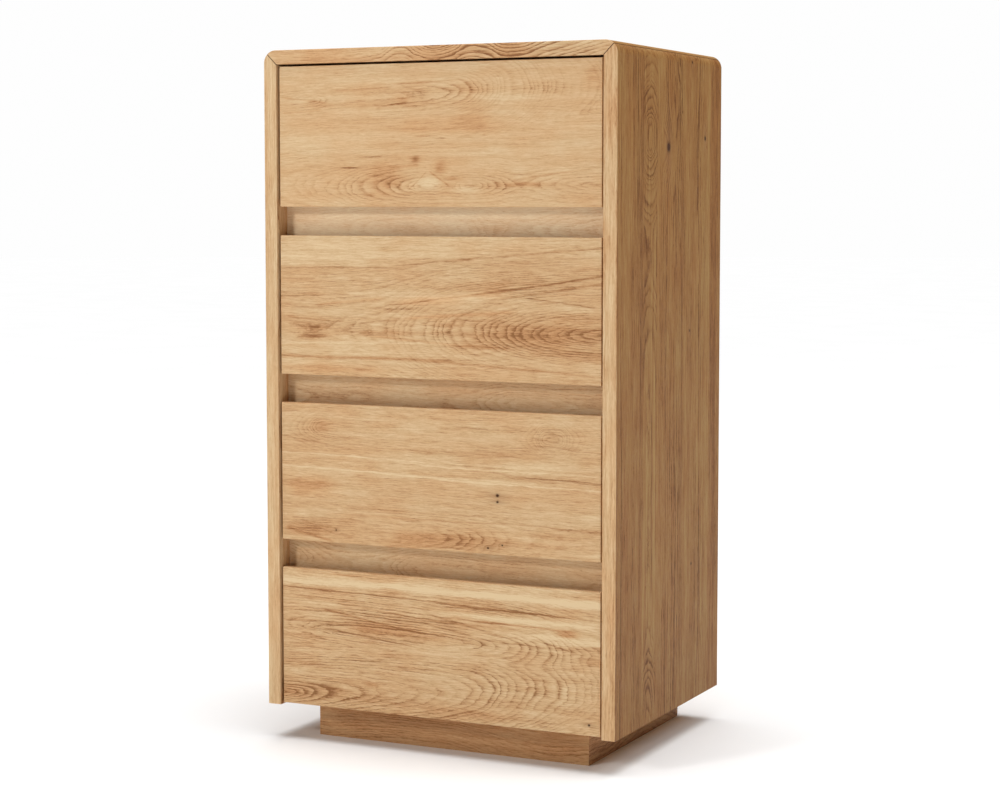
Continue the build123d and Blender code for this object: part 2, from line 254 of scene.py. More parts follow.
def finish_surface(tree, colour, roughness, height, height_mm, metallic=0.0):
    """Joins a colour, a roughness and a height map to the material's shader."""
    shader = tree.nodes["Principled BSDF"]
    plug(colour, shader.inputs["Base Color"])
    plug(roughness, shader.inputs["Roughness"])
    shader.inputs["Metallic"].default_value = metallic
    bump = new_node(tree, "Bump")
    bump.inputs["Distance"].default_value = height_mm / MM_PER_M
    plug(height, bump.inputs["Height"])
    tree.links.new(bump.outputs[0], shader.inputs["Normal"])
    return shader


# Wood. A board shows the year rings of a trunk whose heart runs near its face, at a depth that changes
# along the board: the rings close into arches and eyes where that depth changes.

CREAM = (0.76, 0.57, 0.335)
TAN = (0.63, 0.41, 0.213)
HONEY = (0.50, 0.283, 0.130)
BROWN = (0.29, 0.14, 0.055)
DARK = (0.055, 0.017, 0.004)
REDDISH = (1.0, 0.80, 0.66)
NEUTRAL = (1.0, 1.0, 1.0)
# Painted shade, multiplied into the outer faces of the side panels and the rounded ends of the top
SIDE_PAINTED_SHADE = (0.515, 0.40, 0.228)
WHOLE_THICKNESS = (-1.0, 0.0)  # a tint span that takes in both faces of a board

# How far the figure sways, and over what length and width, from broad waves to fine ones
SWAYS = ((3.5, 170.0, 60.0), (1.5, 40.0, 16.0), (0.8, 12.0, 4.5), (0.5, 5.0, 2.2))


def heart_distance(board, centre, depth):
    """Distance from a heart that runs along the board at a place across it and a depth below it."""
    sideways = board.across - centre
    inward = board.through + depth
    return calculate("SQRT", sideways * sideways + inward * inward)


def ring_lines(board, plain, hearts, ring, knots, burls, seed):
    """Year rings: dark where a year starts and ends, and bolder in some years than in others."""
    distance = hearts(board, plain)
    for along, across, radius in knots:
        distance = distance + board.spot(along, across, 7 * radius, 4 * radius) * (2.0 * radius)
    for along, across, half_length, half_width, push in burls:
        swirl = plain.noise(50.0, 13.0, 1.0, seed + 13) - 0.5
        distance = distance + board.spot(along, across, half_length, half_width) * swirl * push
    year = distance / ring + line_noise(distance, 5 * ring, seed) * 2.4
    phase = calculate("FRACT", year)
    luck = line_noise(calculate("FLOOR", year), 0.37, seed + 5)
    boldness = 0.25 + luck * luck * 2.4
    early = calculate("EXPONENT", phase * -3.2)
    late = rise(phase, 0.76, 1.0)
    return calculate("MAXIMUM", early, late) * boldness


def ring_strength(board, plain, figure, figures, seed):
    """How strong the rings are over the board, broken into dashes along the grain."""
    strength = figure * (0.45 + rise(plain.noise(220.0, 45.0, 1.0, seed + 12), 0.38, 0.62) * 0.55)
    for along, across, half_length, half_width, stronger in figures:
        strength = strength + board.spot(along, across, half_length, half_width) * stronger
    dashes = 0.60 + rise(plain.noise(22.0, 1.5, 2.0, seed + 14, 0.6), 0.38, 0.62) * 0.60
    return strength * dashes


def add_staves(plain, shade, redness, staves):
    """Boards glued side by side, each with its own tone, and a fine line at every joint."""
    edges = [one["edge"] for one in staves[:-1]]
    shade = shade + steps(plain.across, edges, [one["tone"] for one in staves])
    redness = redness + steps(plain.across, edges, [one["red"] for one in staves])
    for edge in edges:
        joint = calculate("ABSOLUTE", plain.across - edge)
        shade = shade + (1.0 - rise(joint, 0.1, 0.5)) * 0.10
    return shade, redness


def add_marks(board, shade, redness, patches, stripes):
    """Darker or paler places and lines on a board's face."""
    marks = [(board.spot(*place), darker, redder) for *place, darker, redder in patches]
    marks += [(board.stripe(*line), darker, redder) for *line, darker, redder in stripes]
    for here, darker, redder in marks:
        shade = shade + here * darker
        redness = redness + here * redder
    return shade, redness


def oak(
    name, axes, origin, hearts, ring=3.6, tone=0.0, red=0.0, contrast=1.0, figure=1.0, figures=(),
    patches=(), stripes=(), knots=(), burls=(), mitres=(), staves=(), tint=NEUTRAL, tint_span=(0.0, 1.0),
    tinted_ends=None, edge_tone=0.0, grain=1.7, seed=0.0,
):
    """Solid oak. hearts(board, plain) gives the distance from the heart, and ring is a year's growth.

    tone, red and contrast set the whole board's darkness, redness and contrast. figure is how strong
    the rings are, grain is the width of the fine streaks, and edge_tone darkens the board's first edge.
    The tint comes in through the thickness over tint_span, or beyond (middle, start, end) along the
    board if tinted_ends gives them, and leaves the first edge alone. On the side panels and the rounded
    ends of the top the tint is painted shade, and on the upper rail it is painted light. The rest are
    places on the face:

    figures  (along, across, half length, half width, stronger): stronger rings
    patches  (along, across, half length, half width, darker, redder)
    stripes  ((along, across), (along, across), half width, darker, redder): a line between two places
    knots    (along, across, radius): small dark spots that push the rings aside
    burls    (along, across, half length, half width, push): the rings swirl
    mitres   (slope, place): planes of corner joints, which show as fine dark lines"""
    material, tree = new_material(name)
    board = Board(tree, axes, origin)
    plain = Board(tree, axes, origin)
    for number, (reach, length, width) in enumerate(SWAYS, 1):
        board.sway(reach, length, width, seed + number)
    sanded = rise(plain.across, 2.0, 0.2) if edge_tone else 0.0
    rings = ring_lines(board, plain, hearts, ring, knots, burls, seed)
    rings = rings * ring_strength(board, plain, figure, figures, seed) * (1.0 - sanded * 0.6)
    band = plain.noise(300.0, 12.0, 2.0, seed + 6) - 0.5
    cloud = plain.noise(90.0, 40.0, 2.0, seed + 7) - 0.5
    streak = board.noise(18.0 * grain, grain, 3.0, seed + 8, 0.65) - 0.5
    fibre = plain.noise(12.0, 0.8, 3.0, seed + 9, 0.65) - 0.5
    fleck = rise(plain.noise(8.0, 1.1, 1.0, seed + 10), 0.58, 0.76)
    pores = rise(plain.noise(7.0, 0.4, 1.0, seed + 11), 0.54, 0.72) * (0.35 + rings)
    shade = (
        0.27
        + tone
        + rings * (0.80 * contrast)
        + band * (0.60 * contrast)
        + cloud * (0.30 * contrast)
        + streak * (1.15 * contrast)
        + fibre * 0.75
        + pores * 0.28
        + fleck * 0.12
    )
    redness = red + 0.35 + cloud * 1.6 + band * 0.8 + rings * 0.2
    if staves:
        shade, redness = add_staves(plain, shade, redness, staves)
    shade, redness = add_marks(board, shade, redness, patches, stripes)
    if edge_tone:
        shade = shade + sanded * edge_tone
        redness = redness + sanded * edge_tone * 1.5
    colour = ramp(clamp(shade), (0.0, CREAM), (0.45, TAN), (0.75, HONEY), (1.0, BROWN))
    colour = mix_colour(clamp(redness) * 0.6, colour, REDDISH, "MULTIPLY")
    # The tint: painted shade on the side panels and the top's rounded ends, painted light on the upper rail
    if tint != NEUTRAL:
        if tinted_ends:
            middle, start, end = tinted_ends
            depth = rise(calculate("ABSOLUTE", plain.along - middle), start, end)
        else:
            depth = rise(plain.through, *tint_span)
        colour = mix_colour(depth * rise(plain.across, 0.2, 2.0), colour, tint, "MULTIPLY")
    for along, across, radius in knots:
        dark = board.spot(along, across, 1.2 * radius, 1.1 * radius)
        stain = board.spot(along, across, 9 * radius, 2.5 * radius)
        colour = mix_colour(clamp(stain * 0.40), colour, BROWN)
        colour = mix_colour(clamp(dark * 1.6), colour, DARK)
    for slope, place in mitres:
        away = calculate("ABSOLUTE", plain.through * slope + plain.along - place)
        colour = mix_colour(rise(away, 1.5, 0.5) * 0.8, colour, DARK)
    height = fibre * 0.5 - pores * 0.8 - rings * 0.15
    shader = finish_surface(tree, colour, clamp(0.56 + streak * 0.25 + pores * 0.25), height, 0.12)
    shader.inputs["Specular IOR Level"].default_value = 0.20
    return material


def eye_hearts(*lines):
    """Hearts at chosen places: each has its place across the board at both ends, the radius of the
    ring that its figure starts from, and its depth."""

    def hearts(board, plain):
        nearest = None
        for start, end, inner_ring, depths in lines:
            centre = board.along * ((end - start) / FRONT_LENGTH) + start
            depth = depth_line(board, FRONT_LENGTH, depths)
            distance = heart_distance(board, centre, depth) + inner_ring
            nearest = distance if nearest is None else least(nearest, distance, 12.0)
        return nearest

    return hearts


def depth_line(board, length, depths):
    """A heart's depth below the face, through chosen points along the board."""
    deepest = 160.0
    return curve(board.along, length, deepest, depths)


def stave(edge, heart, depth, swing=30.0, tone=0.0, red=0.0):
    """One of several boards glued side by side, up to an edge, with its own heart below the face."""
    return dict(edge=edge, heart=heart, depth=depth, swing=swing, tone=tone, red=red)


def random_staves(edges, seed):
    """Boards glued side by side, mostly straight-grained."""
    dice = random.Random(seed)
    middles = [(here + before) / 2 for here, before in zip(edges, (0.0, *edges))]
    return [
        stave(edge, middle + dice.choice((-70.0, -45.0, 12.0, 45.0, 80.0)), dice.uniform(24.0, 60.0),
              dice.uniform(20.0, 60.0), dice.uniform(-0.05, 0.06), dice.uniform(-0.1, 0.25))
        for edge, middle in zip(edges, middles)
    ]


def stave_hearts(staves, seed, length=CASE_HEIGHT, stretch=620.0):
    """The hearts of boards glued side by side. A depth is a number or a line of chosen points."""

    def hearts(board, plain):
        distances = []
        for index, one in enumerate(staves):
            if isinstance(one["depth"], tuple):
                depth = depth_line(board, length, one["depth"])
            else:
                wander = line_noise(board.along, stretch, seed + 17.0 * index) - 0.5
                depth = wander * one["swing"] + one["depth"]
            distances.append(heart_distance(board, one["heart"], depth))
        return steps(plain.across, [one["edge"] for one in staves[:-1]], distances)

    return hearts


def straight_grain(board, plain):
    """A board sawn across the rings, which run straight along it."""
    return board.across + board.through * 0.5


def one_heart(across, depth, swing=50.0, stretch=300.0, seed=0.0):
    """A single board, with its heart at a wandering depth."""

    def hearts(board, plain):
        wander = line_noise(board.along, stretch, seed) - 0.5
        return heart_distance(board, across, wander * swing + depth)

    return hearts


def sheet_steel(name, colour, seed):
    """Zinc-plated sheet: a dull bright metal with fine drawing lines and a faint spangle."""
    material, tree = new_material(name)
    board = Board(tree, "yzx", (0, 0, 0))
    lines = board.noise(40.0, 0.25, 2.0, seed) - 0.5
    spangle = board.noise(6.0, 6.0, 3.0, seed + 1) - 0.5
    tint = ramp(
        clamp(0.5 + lines * 0.3 + spangle * 0.8),
        (0.0, tuple(0.72 * c for c in colour)),
        (1.0, tuple(1.12 * c for c in colour)),
    )
    finish_surface(tree, tint, clamp(0.36 + spangle * 0.3 + lines * 0.1), lines, 0.02, metallic=1.0)
    return material


def plywood(name, axes, origin, ply, seed):
    """Plywood with a pale face veneer: the plies show as bands through its thickness."""
    material, tree = new_material(name)
    board = Board(tree, axes, origin)
    board.sway(3.0, 160.0, 60.0, seed)
    streak = board.noise(60.0, 2.5, 3.0, seed + 1, 0.6) - 0.5
    cloud = board.noise(200.0, 60.0, 2.0, seed + 2) - 0.5
    fibre = board.noise(12.0, 0.5, 2.0, seed + 3) - 0.5
    layer = calculate("PINGPONG", board.through, ply)
    crossing = rise(layer, 0.45 * ply, 0.55 * ply)
    shade = clamp(0.32 + streak * 0.45 + cloud * 0.6 + fibre * 0.25 + crossing * 0.18)
    colour = ramp(shade, (0.0, (0.80, 0.66, 0.46)), (0.5, (0.68, 0.50, 0.31)), (1.0, (0.48, 0.31, 0.17)))
    finish_surface(tree, colour, clamp(0.58 + streak * 0.3), fibre + streak, 0.08)
    return material


# Which material each node has. A board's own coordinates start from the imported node's corner.


def dress(node, material):
    mesh = nodes[node].data
    mesh.materials.clear()
    mesh.materials.append(material)


# The fronts from the top down, with places in millimetres from a front's lower left corner. A heart has
# its place across the front at both ends, its inner ring, and its depth at places along the front.
front_figures = {
    1: dict(
        hearts=eye_hearts(
            (162, 184, 0, ((0, 5), (60, 4), (85, 9), (130, 12), (200, 11), (300, 18), (340, 28), (370, 37),
                        (395, 47), (470, 78), (549, 104))),
            (30, 32, 0, ((0, 50), (60, 42), (110, 35), (150, 26), (190, 18), (225, 10), (260, 3), (300, 10),
                      (330, 4), (375, 12), (415, 20), (450, 16), (500, 8), (549, 3))),
        ),
        figure=0.32,
        figures=(
            (60, 158, 70, 18, 0.5), (240, 166, 120, 24, 0.55), (330, 176, 50, 22, 0.4),
            (450, 176, 80, 15, 0.3), (180, 36, 110, 34, 0.7), (400, 33, 110, 20, 0.5),
            (520, 36, 50, 26, 0.5),
        ),
        stripes=(
            ((200, 187), (330, 190), 2.0, 0.20, 0.3), ((80, 178), (210, 182), 2.0, 0.14, 0.2),
            ((170, 152), (230, 160), 1.6, 0.30, 0.2), ((0, 145), (80, 150), 2.0, 0.14, 0.4),
            ((0, 171), (90, 160), 2.0, 0.18, 0.5), ((225, 22), (262, 54), 2.0, 0.20, 0.3),
            ((262, 54), (300, 30), 2.4, 0.22, 0.5), ((225, 22), (300, 22), 1.8, 0.14, 0.2),
            ((400, 40), (549, 58), 2.0, 0.14, 0.3), ((190, 60), (250, 62), 2.6, 0.16, 0.4),
        ),
        patches=(
            (335, 128, 45, 22, 0.24, 1.1), (215, 165, 22, 10, 0.10, 0.6), (240, 122, 60, 16, 0.06, 0.5),
            (190, 45, 34, 26, 0.20, 1.1), (70, 157, 40, 8, 0.12, 0.5), (262, 36, 30, 13, -0.40, -0.8),
            (328, 27, 24, 8, -0.20, -0.4), (240, 72, 10, 9, 0.55, 0.5), (282, 58, 14, 16, 0.34, 0.5),
            (302, 42, 22, 5, 0.20, 0.4), (125, 60, 24, 1.4, 0.9, 0.0), (165, 77, 24, 1.4, 0.5, 0.0),
            (284, 103, 12, 1.6, 0.50, 0.2), (255, 108, 30, 1.5, 0.30, 0.3), (420, 34, 50, 6, 0.16, 0.8),
            (535, 195, 22, 20, 0.18, 0.5), (400, 93, 40, 1.2, 0.35, 0.0),
        ),
        contrast=0.75,
    ),
    2: dict(
        hearts=eye_hearts(
            (70, 76, 0, ((0, 96), (180, 90), (215, 82), (260, 68), (320, 52), (385, 37), (440, 24),
                         (510, 10), (549, 3))),
        ),
        figure=0.30,
        figures=(
            (400, 66, 150, 38, 0.60), (270, 76, 80, 22, 0.55), (200, 108, 140, 10, 0.35),
            (450, 140, 120, 26, 0.45), (80, 78, 110, 20, 0.5), (520, 70, 50, 40, 0.4),
        ),
        patches=(
            (430, 70, 130, 36, 0.22, 0.8), (270, 120, 90, 10, -0.06, 0.5), (490, 130, 60, 12, -0.05, 0.3),
            (100, 200, 200, 26, -0.22, -0.5), (100, 120, 80, 6, -0.10, -0.2), (60, 61, 26, 4, 0.50, 0.5),
            (62, 76, 26, 3, 0.30, 0.4), (150, 68, 34, 4, 0.34, 0.4), (200, 68, 40, 8, 0.18, 0.6),
            (100, 12, 200, 12, 0.06, 0.7), (335, 92, 30, 3, 0.34, 0.1), (540, 60, 40, 44, 0.12, 0.4),
        ),
        stripes=(
            ((-60, 168), (230, 170), 1.8, 0.34, 0.1), ((190, 172), (620, 210), 2.6, 0.34, 0.2),
            ((180, 112), (330, 128), 1.8, 0.42, 0.2), ((300, 124), (620, 172), 2.4, 0.46, 0.3),
            ((340, 118), (600, 158), 3.0, 0.26, 0.2), ((420, 128), (549, 112), 2.0, 0.34, 0.1),
            ((180, 107), (240, 108), 1.8, 0.36, 0.2), ((60, 110), (190, 124), 3.0, 0.10, 0.6),
            ((190, 116), (400, 132), 7.0, -0.10, 0.5), ((0, 92), (140, 82), 2.2, 0.26, 0.3),
            ((110, 78), (215, 90), 2.0, 0.26, 0.2), ((-60, 30), (330, 30), 3.0, 0.30, 0.5),
            ((250, 30), (600, 8), 3.0, 0.26, 0.4), ((130, 64), (420, 48), 3.0, 0.18, 0.6),
            ((-60, 120), (140, 128), 1.6, 0.24, 0.0), ((210, 92), (420, 106), 4.0, 0.16, 0.8),
            ((-40, 50), (380, 56), 2.6, -0.18, -0.2),
        ),
        tone=0.07,
        red=-0.15,
        contrast=1.05,
    ),
    3: dict(
        hearts=eye_hearts(
            (8, 30, 0, ((0, 4), (150, 12), (225, 17), (300, 24), (350, 34), (430, 46), (549, 50))),
            (182, 180, 0, ((0, 34), (25, 28), (50, 18), (80, 8), (130, 10), (250, 30), (400, 34), (440, 22),
                        (470, 3), (500, 20), (549, 40))),
        ),
        figure=0.20,
        figures=(
            (340, 18, 110, 22, 0.5), (500, 36, 90, 16, 0.5), (470, 180, 50, 26, 0.45),
            (60, 176, 60, 30, 0.3), (60, 20, 80, 22, 0.4), (250, 52, 280, 10, 0.3),
        ),
        patches=(
            (70, 184, 40, 18, 0.14, 0.8), (50, 88, 60, 22, 0.08, 0.7), (45, 20, 60, 18, 0.26, 0.7),
            (250, 15, 200, 24, 0.12, 0.6), (240, 187, 60, 8, -0.20, -0.5), (300, 135, 220, 5, -0.22, -0.5),
            (280, 112, 240, 5, -0.22, -0.5), (470, 184, 18, 12, 0.14, 0.3), (340, 192, 30, 2, 0.3, 0.0),
            (450, 118, 120, 3, 0.16, 0.0), (530, 60, 50, 8, -0.10, -0.2), (440, 25, 60, 4, -0.14, -0.3),
        ),
        stripes=(
            ((-40, 140), (300, 134), 1.4, -0.30, -0.4), ((200, 132), (600, 126), 1.4, -0.30, -0.4),
            ((-40, 118), (300, 112), 2.0, -0.30, -0.4), ((250, 110), (600, 106), 1.6, -0.30, -0.4),
            ((-40, 172), (140, 146), 2.0, 0.24, 0.1), ((120, 138), (420, 132), 1.2, 0.26, 0.0),
            ((380, 122), (600, 116), 1.4, 0.30, 0.0), ((60, 44), (420, 48), 2.0, 0.16, 0.3),
            ((400, 48), (600, 42), 1.6, 0.26, 0.2), ((0, 20), (100, 2), 3.0, 0.20, 0.6),
            ((300, 190), (480, 192), 1.4, 0.20, 0.0), ((430, 170), (600, 160), 1.6, 0.18, 0.1),
        ),
        knots=((379, 90, 3.0), (379, 80, 2.2), (98, 20, 1.2), (363, 8, 1.8), (387, 14, 1.4)),
        tone=0.12,
        red=-0.12,
        contrast=1.0,
    ),
    4: dict(
        hearts=eye_hearts(
            (16, 70, 0, ((0, 2), (30, 8), (105, 20), (225, 32), (325, 44), (400, 62), (470, 80),
                         (549, 100))),
            (132, 116, 45, ((0, 16), (150, 5), (300, 8), (400, 20), (455, 34), (510, 50), (549, 56))),
        ),
        ring=3.9,
        figure=0.42,
        figures=(
            (110, 22, 130, 30, 0.7), (330, 44, 150, 26, 0.30), (480, 66, 100, 44, 0.22),
            (420, 124, 130, 18, 0.18), (180, 145, 140, 26, 0.5), (300, 180, 280, 14, 0.3),
        ),
        patches=(
            (495, 150, 22, 7, 0.34, 1.0), (190, 135, 110, 16, 0.22, 1.2),
            (489, 63, 12, 10, -0.30, -0.4), (60, 20, 130, 26, 0.16, 0.5), (300, 14, 200, 12, 0.10, 0.4),
            (440, 165, 110, 9, -0.18, -0.3), (60, 88, 60, 12, -0.14, -0.2), (375, 158, 40, 2, 0.34, 0.9),
            (110, 213, 40, 3, 0.20, 0.7), (450, 202, 24, 1.6, 0.40, 0.2), (160, 42, 16, 5, 0.14, 0.6),
            (400, 178, 180, 1.8, 0.30, 0.3),
        ),
        stripes=(
            ((-80, 197), (240, 202), 6.0, -0.60, -0.9), ((180, 200), (640, 198), 6.5, -0.70, -0.9),
            ((-60, 189), (250, 184), 1.8, 0.40, 0.3), ((200, 185), (620, 172), 2.0, 0.40, 0.3),
            ((-60, 178), (160, 172), 1.6, 0.22, 0.2), ((80, 168), (330, 150), 2.0, 0.34, 0.4),
            ((250, 166), (420, 132), 2.4, 0.32, 0.2), ((340, 130), (470, 126), 1.8, 0.36, 0.2),
            ((60, 158), (260, 130), 2.0, 0.34, 0.5), ((240, 150), (340, 134), 1.8, 0.30, 0.2),
            ((-60, 135), (110, 138), 4.0, 0.24, 0.3), ((80, 124), (240, 110), 1.6, 0.40, 0.3),
            ((430, 140), (520, 122), 1.8, 0.34, 0.2), ((360, 160), (520, 154), 2.0, 0.34, 0.8),
            ((-60, 170), (120, 166), 5.0, -0.20, -0.3), ((420, 144), (620, 140), 6.0, -0.30, -0.4),
            ((270, 168), (560, 164), 4.0, -0.34, -0.4),
        ),
        burls=((50, 118, 60, 13, 26.0),),
        knots=((531, 16, 2.0),),
        tone=0.06,
        red=-0.15,
        contrast=1.2,
    ),
}

for number in DRAWERS:
    front = f"drawer_{number}_front"
    place = corner(front, "xzy")
    dress(front, oak(f"oak_front_{number}", "xzy", place, seed=number * 11.0, **front_figures[number]))

# The side panels, with places in millimetres up from the underside and back from the front edge
right_staves = (
    stave(62.0, -60.0, 48.0, 20.0, 0.03, 0.2),
    stave(105.0, 30.0, 40.0, 26.0, 0.05, 0.1),
    stave(160.0, 131.0, ((0, 4), (60, 12), (110, 28), (300, 34), (560, 36), (740, 52), (800, 38), (860, 16),
                         (900, 1), (940, 14), (1037, 52)), 0.0, -0.03, 0.0),
    stave(235.0, 262.0, 62.0, 16.0, 0.0, 0.2),
    stave(275.0, 215.0, 40.0, 30.0, 0.03, 0.0),
    stave(330.0, 420.0, 60.0, 16.0, 0.04, 0.05),
    stave(390.0, 300.0, 74.0, 12.0, -0.06, -0.1),
    stave(440.0, 480.0, 44.0, 20.0, 0.04, 0.2),
)
side_sets = (
    (
        "right", 5.0, 1.25, right_staves, (0.0, BOARD_THICKNESS), (-1.0, CASE_HEIGHT - BOARD_THICKNESS),
        dict(
            knots=((885, 205, 8.0), (902, 365, 4.0), (1020, 308, 2.6), (597, 302, 2.4), (222, 315, 2.4)),
            patches=(
                (915, 205, 36, 10, 0.40, -0.3), (518, 414, 900, 9, 0.20, 1.0),
                (800, 205, 60, 16, 0.04, 0.5), (820, 82, 60, 8, 0.22, 0.0), (680, 80, 50, 6, 0.22, 0.0),
                (420, 140, 160, 3, 0.30, 0.1), (240, 142, 60, 5, 0.36, 0.0),
                (520, 150, 500, 3, -0.20, -0.3), (420, 120, 220, 3, -0.20, -0.3),
                (150, 205, 50, 8, 0.14, 0.0), (300, 40, 160, 12, 0.12, 0.6),
                (600, 270, 500, 2.5, 0.24, 0.2),
            ),
            figures=((900, 132, 130, 30, 0.35), (60, 132, 80, 26, 0.3), (960, 255, 90, 18, 0.7),
                     (300, 30, 260, 26, 0.3)),
            burls=((960, 255, 80, 22, 24.0), (160, 145, 60, 10, 18.0), (880, 132, 180, 24, 7.0)),
            stripes=(
                ((-100, 152), (620, 154), 2.2, -0.30, -0.4), ((100, 124), (560, 122), 2.4, -0.28, -0.4),
                ((200, 138), (760, 140), 1.8, -0.22, -0.3), ((220, 144), (500, 141), 1.8, 0.40, 0.0),
                ((420, 112), (1000, 108), 1.6, 0.26, 0.0), ((700, 84), (1100, 80), 5.0, 0.16, -0.3),
                ((-100, 60), (1100, 62), 1.2, 0.20, 0.0), ((-100, 46), (700, 50), 1.4, 0.26, 0.2),
                ((-50, 28), (500, 30), 3.0, 0.14, 0.7), ((100, 92), (900, 96), 1.6, 0.24, 0.0),
                ((300, 216), (640, 218), 1.6, 0.34, 0.0), ((300, 268), (1000, 264), 1.8, 0.24, 0.2),
                ((500, 240), (1100, 236), 1.6, 0.20, 0.1), ((-100, 250), (500, 256), 1.6, 0.22, 0.1),
                ((-100, 388), (1100, 392), 1.6, 0.18, 0.8), ((-100, 336), (1100, 334), 3.0, -0.10, -0.2),
                ((100, 360), (900, 364), 4.0, -0.10, -0.2), ((-50, 300), (560, 296), 3.0, 0.10, 0.0),
            ),
        ),
    ),
    (
        "left", 63.0, 0.95, random_staves((70.0, 128.0, 190.0, 262.0, 318.0, 380.0, 440.0), 8),
        (BOARD_THICKNESS, 0.0), (1.0, CASE_HEIGHT),
        dict(knots=((330, 150, 4.5), (760, 300, 3.0), (930, 90, 2.4)), burls=((640, 225, 120, 18, 24.0),),
             figures=((640, 225, 160, 30, 0.6), (330, 150, 120, 30, 0.4)),
             patches=((500, 30, 700, 8, 0.14, 0.8), (500, 350, 600, 14, -0.08, -0.2))),
    ),
)
# The tint on both side panels is painted shade, strongest on the outer face and left off the front edge
for hand, seed, contrast, staves, tint_span, mitre, figure_marks in side_sets:
    panel = f"side_panel_{hand}"
    dress(
        panel,
        oak(
            f"oak_side_{hand}", "zyx", corner(panel, "zyx"), stave_hearts(staves, seed), staves=staves,
            mitres=(mitre,), tint=SIDE_PAINTED_SHADE, tint_span=tint_span, edge_tone=-0.03, grain=3.0,
            figure=0.6, contrast=contrast, tone=0.04, ring=4.2, seed=seed, **figure_marks,
        ),
    )

top_staves = random_staves((75.0, 160.0, 240.0, 330.0, 440.0), 3)
# The front one's heart runs in and out just behind the front edge, which shows it as waves
top_staves[0] = stave(75.0, -5.0, ((0, 60), (195, 57), (236, 41), (264, 53), (290, 60), (322, 55),
                                   (352, 42), (382, 45), (410, 58), (436, 58), (475, 46), (520, 36),
                                   (588, 20)))
top_start = corner("top_panel", "x")[0]
# The tint on the top's rounded ends, over the mitres, is painted shade like that on the sides
dress(
    "top_panel",
    oak(
        "oak_top", "xyz", corner("top_panel", "xyz"), stave_hearts(top_staves, 21.0, TOP_LENGTH),
        staves=top_staves,
        mitres=((-1.0, INNER_HALF_WIDTH - top_start), (1.0, -INNER_HALF_WIDTH - top_start)), figure=0.5,
        tint=SIDE_PAINTED_SHADE,
        tinted_ends=(-top_start, HALF_WIDTH - 0.9 * CORNER_RADIUS, HALF_WIDTH - 0.45 * CORNER_RADIUS),
        ring=5.4, contrast=0.85, figures=((400, 0, 200, 16, 1.1),), burls=((330, 0, 90, 12, 10.0),),
        patches=((300, 0, 70, 9, 0.12, 1.0), (420, 0, 40, 8, 0.08, 0.6), (90, 0, 60, 9, 0.10, 0.7)),
        seed=31.0,
    ),
)
# The upper rail's tint over 1 and its lower tone are painted light that makes it paler; the small tints on
# the other two rails make their wood a little less yellow
for name, seed, tone, tint in (
    ("upper", 41.0, -0.09, (1.15, 1.25, 1.42)),
    ("middle", 47.0, 0.05, (1.0, 1.03, 1.08)),
    ("lower", 53.0, 0.03, (1.0, 1.02, 1.05)),
):
    rail = f"rail_{name}"
    dress(
        rail,
        oak(f"oak_rail_{name}", "xzy", corner(rail, "xzy"), one_heart(20.0, 34.0, seed=seed), ring=2.8,
            tone=tone, red=-0.12, figure=0.5, contrast=0.75, tint=tint, tint_span=WHOLE_THICKNESS,
            grain=1.1, seed=seed),
    )
# The higher tone of the left and right plinth boards is painted shade
for name, axes, seed, tone in (
    ("front", "xzy", 71.0, 0.27),
    ("back", "xzy", 75.0, 0.27),
    ("left", "yzx", 79.0, 0.42),
    ("right", "yzx", 83.0, 0.42),
):
    board = f"plinth_{name}"
    dress(
        board,
        oak(f"oak_plinth_{name}", axes, corner(board, axes), one_heart(-20.0, 40.0, seed=seed), tone=tone,
            red=0.55, contrast=0.7, figure=0.7, seed=seed),
    )
bottom_staves = random_staves((90.0, 190.0, 300.0, 400.0, 440.0), 14)
dress(
    "bottom_panel",
    oak("oak_bottom", "xyz", corner("bottom_panel", "xyz"), stave_hearts(bottom_staves, 91.0),
        staves=bottom_staves, tone=0.06, figure=0.6, seed=91.0),
)
back_staves = random_staves((190.0, 385.0, 600.0), 5)
dress(
    "back_panel",
    oak("oak_back", "zxy", corner("back_panel", "zxy"), stave_hearts(back_staves, 97.0), staves=back_staves,
        tone=0.02, contrast=0.8, figure=0.7, seed=97.0),
)

box_wood = {
    axes: oak(f"box_wood_{axes[0]}", axes, (0, 0, 0), straight_grain, tone=-0.14, red=-0.2, contrast=0.6,
              ring=7.0, figure=0.5, seed=seed)
    for axes, seed in (("xzy", 101.0), ("yzx", 107.0))
}
floor_ply = plywood("floor_ply", "xyz", (0, 0, 0), 2.0, 5.0)
for number in DRAWERS:
    for name in ("inner_front", "back"):
        dress(f"drawer_{number}_{name}", box_wood["xzy"])
    for name in ("side_left", "side_right"):
        dress(f"drawer_{number}_{name}", box_wood["yzx"])
    dress(f"drawer_{number}_floor", floor_ply)

beech = oak("beech", "xyz", (0, 0, 0), one_heart(0.0, 30.0), tone=-0.04, red=0.4, contrast=0.4)
for node in ("case_dowels", "mitre_splines", "plinth_corner_blocks"):
    dress(node, beech)
slide_steel = sheet_steel("slide_steel", (0.42, 0.43, 0.45), 3.0)
cage_steel = sheet_steel("cage_steel", (0.38, 0.37, 0.35), 7.0)
screw_steel = sheet_steel("screw_steel", (0.50, 0.48, 0.43), 11.0)
for node in nodes:
    if "ball_cages" in node:
        dress(node, cage_steel)
    elif "screws" in node:
        dress(node, screw_steel)
    elif "members" in node:
        dress(node, slide_steel)


# The studio: a pale floor, an even white surround, and soft lamps in front of the chest


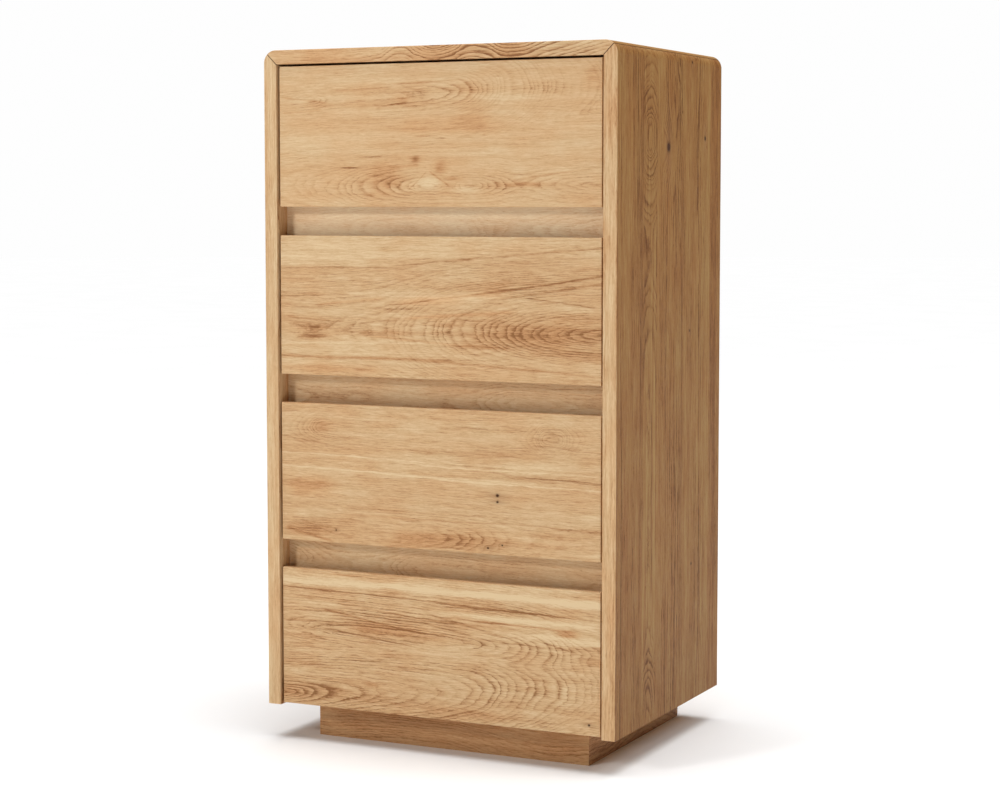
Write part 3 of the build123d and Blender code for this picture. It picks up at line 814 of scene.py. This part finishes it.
def floor():
    """A large pale disc for the chest to stand on."""
    radius = 30.0
    corners = 96
    turns = [2 * math.pi * k / corners for k in range(corners)]
    mesh = bpy.data.meshes.new("studio_floor")
    mesh.from_pydata([(radius * math.cos(t), radius * math.sin(t), 0) for t in turns], [], [range(corners)])
    disc = bpy.data.objects.new("studio_floor", mesh)
    bpy.context.scene.collection.objects.link(disc)
    material, tree = new_material("studio_paper")
    board = Board(tree, "xyz", (0, 0, 0))
    mottle = board.noise(300.0, 300.0, 3.0, 1.0) - 0.5
    colour = ramp(clamp(0.5 + mottle), (0.0, (0.86, 0.86, 0.86)), (1.0, (0.90, 0.90, 0.90)))
    shader = finish_surface(tree, colour, 0.9, mottle, 0.01)
    shader.inputs["Specular IOR Level"].default_value = 0.0
    mesh.materials.append(material)


def lamp(name, place, target, size, watts):
    """A square soft lamp that faces a target."""
    light = bpy.data.lights.new(name, "AREA")
    light.shape = "SQUARE"
    light.size = size
    light.energy = watts
    stand = bpy.data.objects.new(name, light)
    bpy.context.scene.collection.objects.link(stand)
    stand.location = place
    way = Vector(target) - Vector(place)
    stand.rotation_mode = "QUATERNION"
    stand.rotation_quaternion = way.to_track_quat("-Z", "Y")


def sky_light(strength):
    """Broad even light from straight above, which keeps the floor pale all over."""
    light = bpy.data.lights.new("sky", "SUN")
    light.energy = strength
    light.angle = math.radians(50.0)
    sky = bpy.data.objects.new("sky", light)
    bpy.context.scene.collection.objects.link(sky)
    sky.location = (0, 0, 4.0)


def surround(fill, backdrop):
    """An even grey surround for light, seen by the camera as a brighter backdrop."""
    world = bpy.data.worlds.new("studio")
    bpy.context.scene.world = world
    world.use_nodes = True
    tree = world.node_tree
    lit = tree.nodes["Background"]
    lit.inputs["Color"].default_value = (1, 1, 1, 1)
    lit.inputs["Strength"].default_value = fill
    seen = new_node(tree, "Background")
    seen.inputs["Strength"].default_value = backdrop
    seen.inputs["Color"].default_value = (1, 1, 1, 1)
    mix = new_node(tree, "MixShader")
    path = new_node(tree, "LightPath")
    tree.links.new(path.outputs["Is Camera Ray"], mix.inputs[0])
    tree.links.new(lit.outputs[0], mix.inputs[1])
    tree.links.new(seen.outputs[0], mix.inputs[2])
    tree.links.new(mix.outputs[0], tree.nodes["World Output"].inputs["Surface"])


floor()
chest_middle = (0.0, 0.0, 0.6)
right_side_top = (0.3, 0.0, 1.0)
lamp("key", place=(-1.8, -3.7, 2.4), target=chest_middle, size=0.7, watts=61.0)
lamp("upper_right", place=(2.4, 0.3, 2.8), target=right_side_top, size=1.2, watts=26.0)
sky_light(3.3)
surround(fill=0.08, backdrop=0.99)

bpy.context.scene.view_settings.view_transform = "Standard"

camera = bpy.data.cameras.new("camera")
camera.lens = 80.86
camera.shift_y = -0.03
stand = bpy.data.objects.new("camera", camera)
bpy.context.scene.collection.objects.link(stand)
turn, dip = 0.4473, 0.0755  # radians to the left of +Y, and below the horizon
stand.location = (1.5683, -3.2584, 0.8585)
stand.rotation_euler = (math.pi / 2 - dip, 0, turn)
bpy.context.scene.camera = stand
